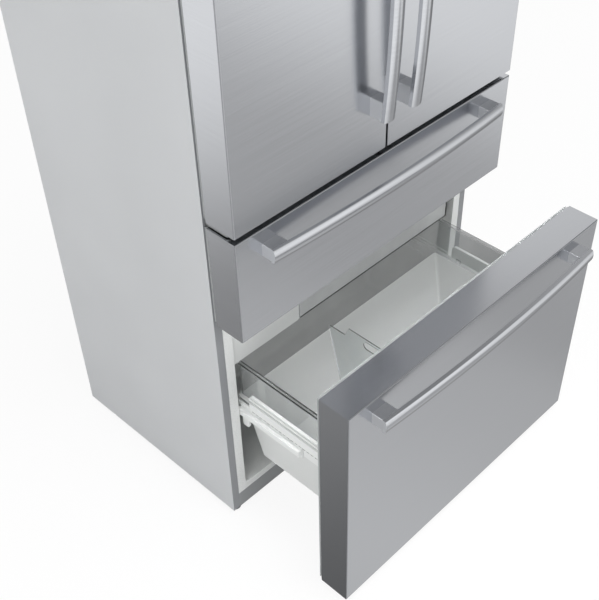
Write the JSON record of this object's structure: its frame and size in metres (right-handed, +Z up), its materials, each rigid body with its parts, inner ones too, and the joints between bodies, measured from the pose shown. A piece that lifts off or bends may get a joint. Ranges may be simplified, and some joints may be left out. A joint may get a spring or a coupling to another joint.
{
  "type": "french door refrigerator",
  "caption": "Free-standing refrigerator with side-hinged upper doors, a shallow middle drawer and a deep pull-out freezer drawer, bowed bar handles and a grey case.",
  "frame": {"origin": "on the floor under the middle of the whole object's box at rest, with the freezer drawer standing open", "axes": "+X to the right when facing the doors, +Y from the doors to the back of the case, +Z up"},
  "size_m": [0.905, 1.063, 1.829],
  "materials": {
    "case_paint": "light grey painted steel, satin",
    "grey_paint": "grey painted steel, satin",
    "stainless": "stainless steel, brushed along the grain",
    "handle_steel": "stainless steel, fine satin",
    "zinc_steel": "zinc-plated steel",
    "liner_plastic": "white moulded plastic, soft gloss",
    "slide_plastic": "white moulded plastic, satin",
    "grey_plastic": "grey moulded plastic, fine grain",
    "black_plastic": "black moulded plastic",
    "clear_plastic": "clear moulded plastic",
    "shelf_glass": "toughened glass",
    "lamp_lens": "opal plastic lens",
    "seal_rubber": "grey soft seal",
    "black_rubber": "black rubber",
    "black_paint": "black painted steel, semi-gloss",
    "fin_metal": "bare fin and tube",
    "insulation": "rigid insulating foam"
  },
  "bodies": {
    "cabinet": {"case_panels": "case_paint", "rear_panel": "zinc_steel", "base_frame": "grey_paint", "cabinet_foam": "insulation", "fridge_liner": "liner_plastic", "middle_liner": "liner_plastic", "freezer_liner": "liner_plastic", "cross_rails": "grey_paint", "door_hinges": "zinc_steel", "hinge_covers": "grey_plastic", "hinge_screws": "zinc_steel", "levelling_feet": "black_plastic", "compressor": "black_paint", "condenser": "black_paint", "condenser_fan_motor": "zinc_steel", "drip_tray": "black_plastic", "evaporator": "fin_metal", "evaporator_cover": "liner_plastic", "fridge_air_duct": "liner_plastic", "fridge_lamp": "lamp_lens", "machine_cover": "zinc_steel", "cord_gland": "black_rubber", "shelf_glass": "shelf_glass", "shelf_frames": "slide_plastic", "crispers": "clear_plastic", "drawer_rails": "slide_plastic", "ice_maker": "slide_plastic"},
    "left_door": {"left_door_skin": "stainless", "left_door_caps": "grey_plastic", "left_door_liner": "liner_plastic", "left_door_gasket": "seal_rubber", "left_door_handle": "handle_steel", "left_door_bins": "clear_plastic"},
    "right_door": {"right_door_skin": "stainless", "right_door_caps": "grey_plastic", "right_door_liner": "liner_plastic", "right_door_gasket": "seal_rubber", "right_door_handle": "handle_steel", "right_door_bins": "clear_plastic"},
    "mullion_flap": {"mullion_flap": "grey_plastic"},
    "middle_drawer": {"middle_front_skin": "stainless", "middle_front_panel": "liner_plastic", "middle_gasket": "seal_rubber", "middle_handle": "handle_steel", "middle_bin": "clear_plastic", "middle_runners": "slide_plastic"},
    "middle_slides": {"middle_slides": "slide_plastic"},
    "freezer_drawer": {"freezer_front_skin": "stainless", "freezer_front_panel": "liner_plastic", "freezer_gasket": "seal_rubber", "freezer_handle": "handle_steel", "freezer_tub": "slide_plastic", "freezer_collar": "clear_plastic", "freezer_runners": "slide_plastic"},
    "freezer_slides": {"freezer_slides": "slide_plastic"},
    "ice_bin": {"ice_bin": "slide_plastic"},
    "freezer_tray": {"freezer_tray": "clear_plastic"},
    "rear_rollers": {"rear_rollers": "black_plastic"},
    "condenser_fan": {"condenser_fan": "black_plastic"},
    "evaporator_fan": {"evaporator_fan": "slide_plastic"}
  },
  "joints": [
    {"name": "left_door_swing", "type": "hinge", "parent": "cabinet", "child": "left_door", "pos_m": [-0.4405, -0.1305, 0.97], "axis": [0, 0, -1], "range_deg": [0, 120]},
    {"name": "right_door_swing", "type": "hinge", "parent": "cabinet", "child": "right_door", "pos_m": [0.4405, -0.1305, 0.97], "axis": [0, 0, 1], "range_deg": [0, 120]},
    {"name": "mullion_flap_turn", "type": "hinge", "parent": "left_door", "child": "mullion_flap", "pos_m": [-0.03, -0.066, 1.00375], "axis": [0, 0, -1], "range_deg": [0, 90]},
    {"name": "middle_drawer_slide", "type": "slide", "parent": "cabinet", "child": "middle_drawer", "axis": [0, -1, 0], "range_m": [0, 0.4]},
    {"name": "middle_slides_run", "type": "slide", "parent": "cabinet", "child": "middle_slides", "axis": [0, -1, 0], "range_m": [0, 0.248]},
    {"name": "freezer_drawer_slide", "type": "slide", "parent": "cabinet", "child": "freezer_drawer", "axis": [0, -1, 0], "range_m": [-0.307, 0.093]},
    {"name": "freezer_slides_run", "type": "slide", "parent": "cabinet", "child": "freezer_slides", "axis": [0, -1, 0], "range_m": [-0.19034, 0.05766]},
    {"name": "ice_bin_slide", "type": "slide", "parent": "cabinet", "child": "ice_bin", "axis": [0, -1, 0], "range_m": [0, 0.28]},
    {"name": "freezer_tray_slide", "type": "slide", "parent": "cabinet", "child": "freezer_tray", "axis": [0, -1, 0], "range_m": [0, 0.28]},
    {"name": "rear_rollers_spin", "type": "hinge", "parent": "cabinet", "child": "rear_rollers", "pos_m": [0, 0.4865, 0.02], "axis": [1, 0, 0], "continuous": true},
    {"name": "condenser_fan_spin", "type": "hinge", "parent": "cabinet", "child": "condenser_fan", "pos_m": [-0.044, 0.424, 0.13115], "axis": [1, 0, 0], "continuous": true},
    {"name": "evaporator_fan_spin", "type": "hinge", "parent": "cabinet", "child": "evaporator_fan", "pos_m": [0, 0.4255, 0.59], "axis": [0, 1, 0], "continuous": true}
  ],
  "couplings": [
    {"joint": "middle_slides_run", "follows": "middle_drawer_slide", "ratio": 0.62},
    {"joint": "freezer_slides_run", "follows": "freezer_drawer_slide", "ratio": 0.62}
  ]
}
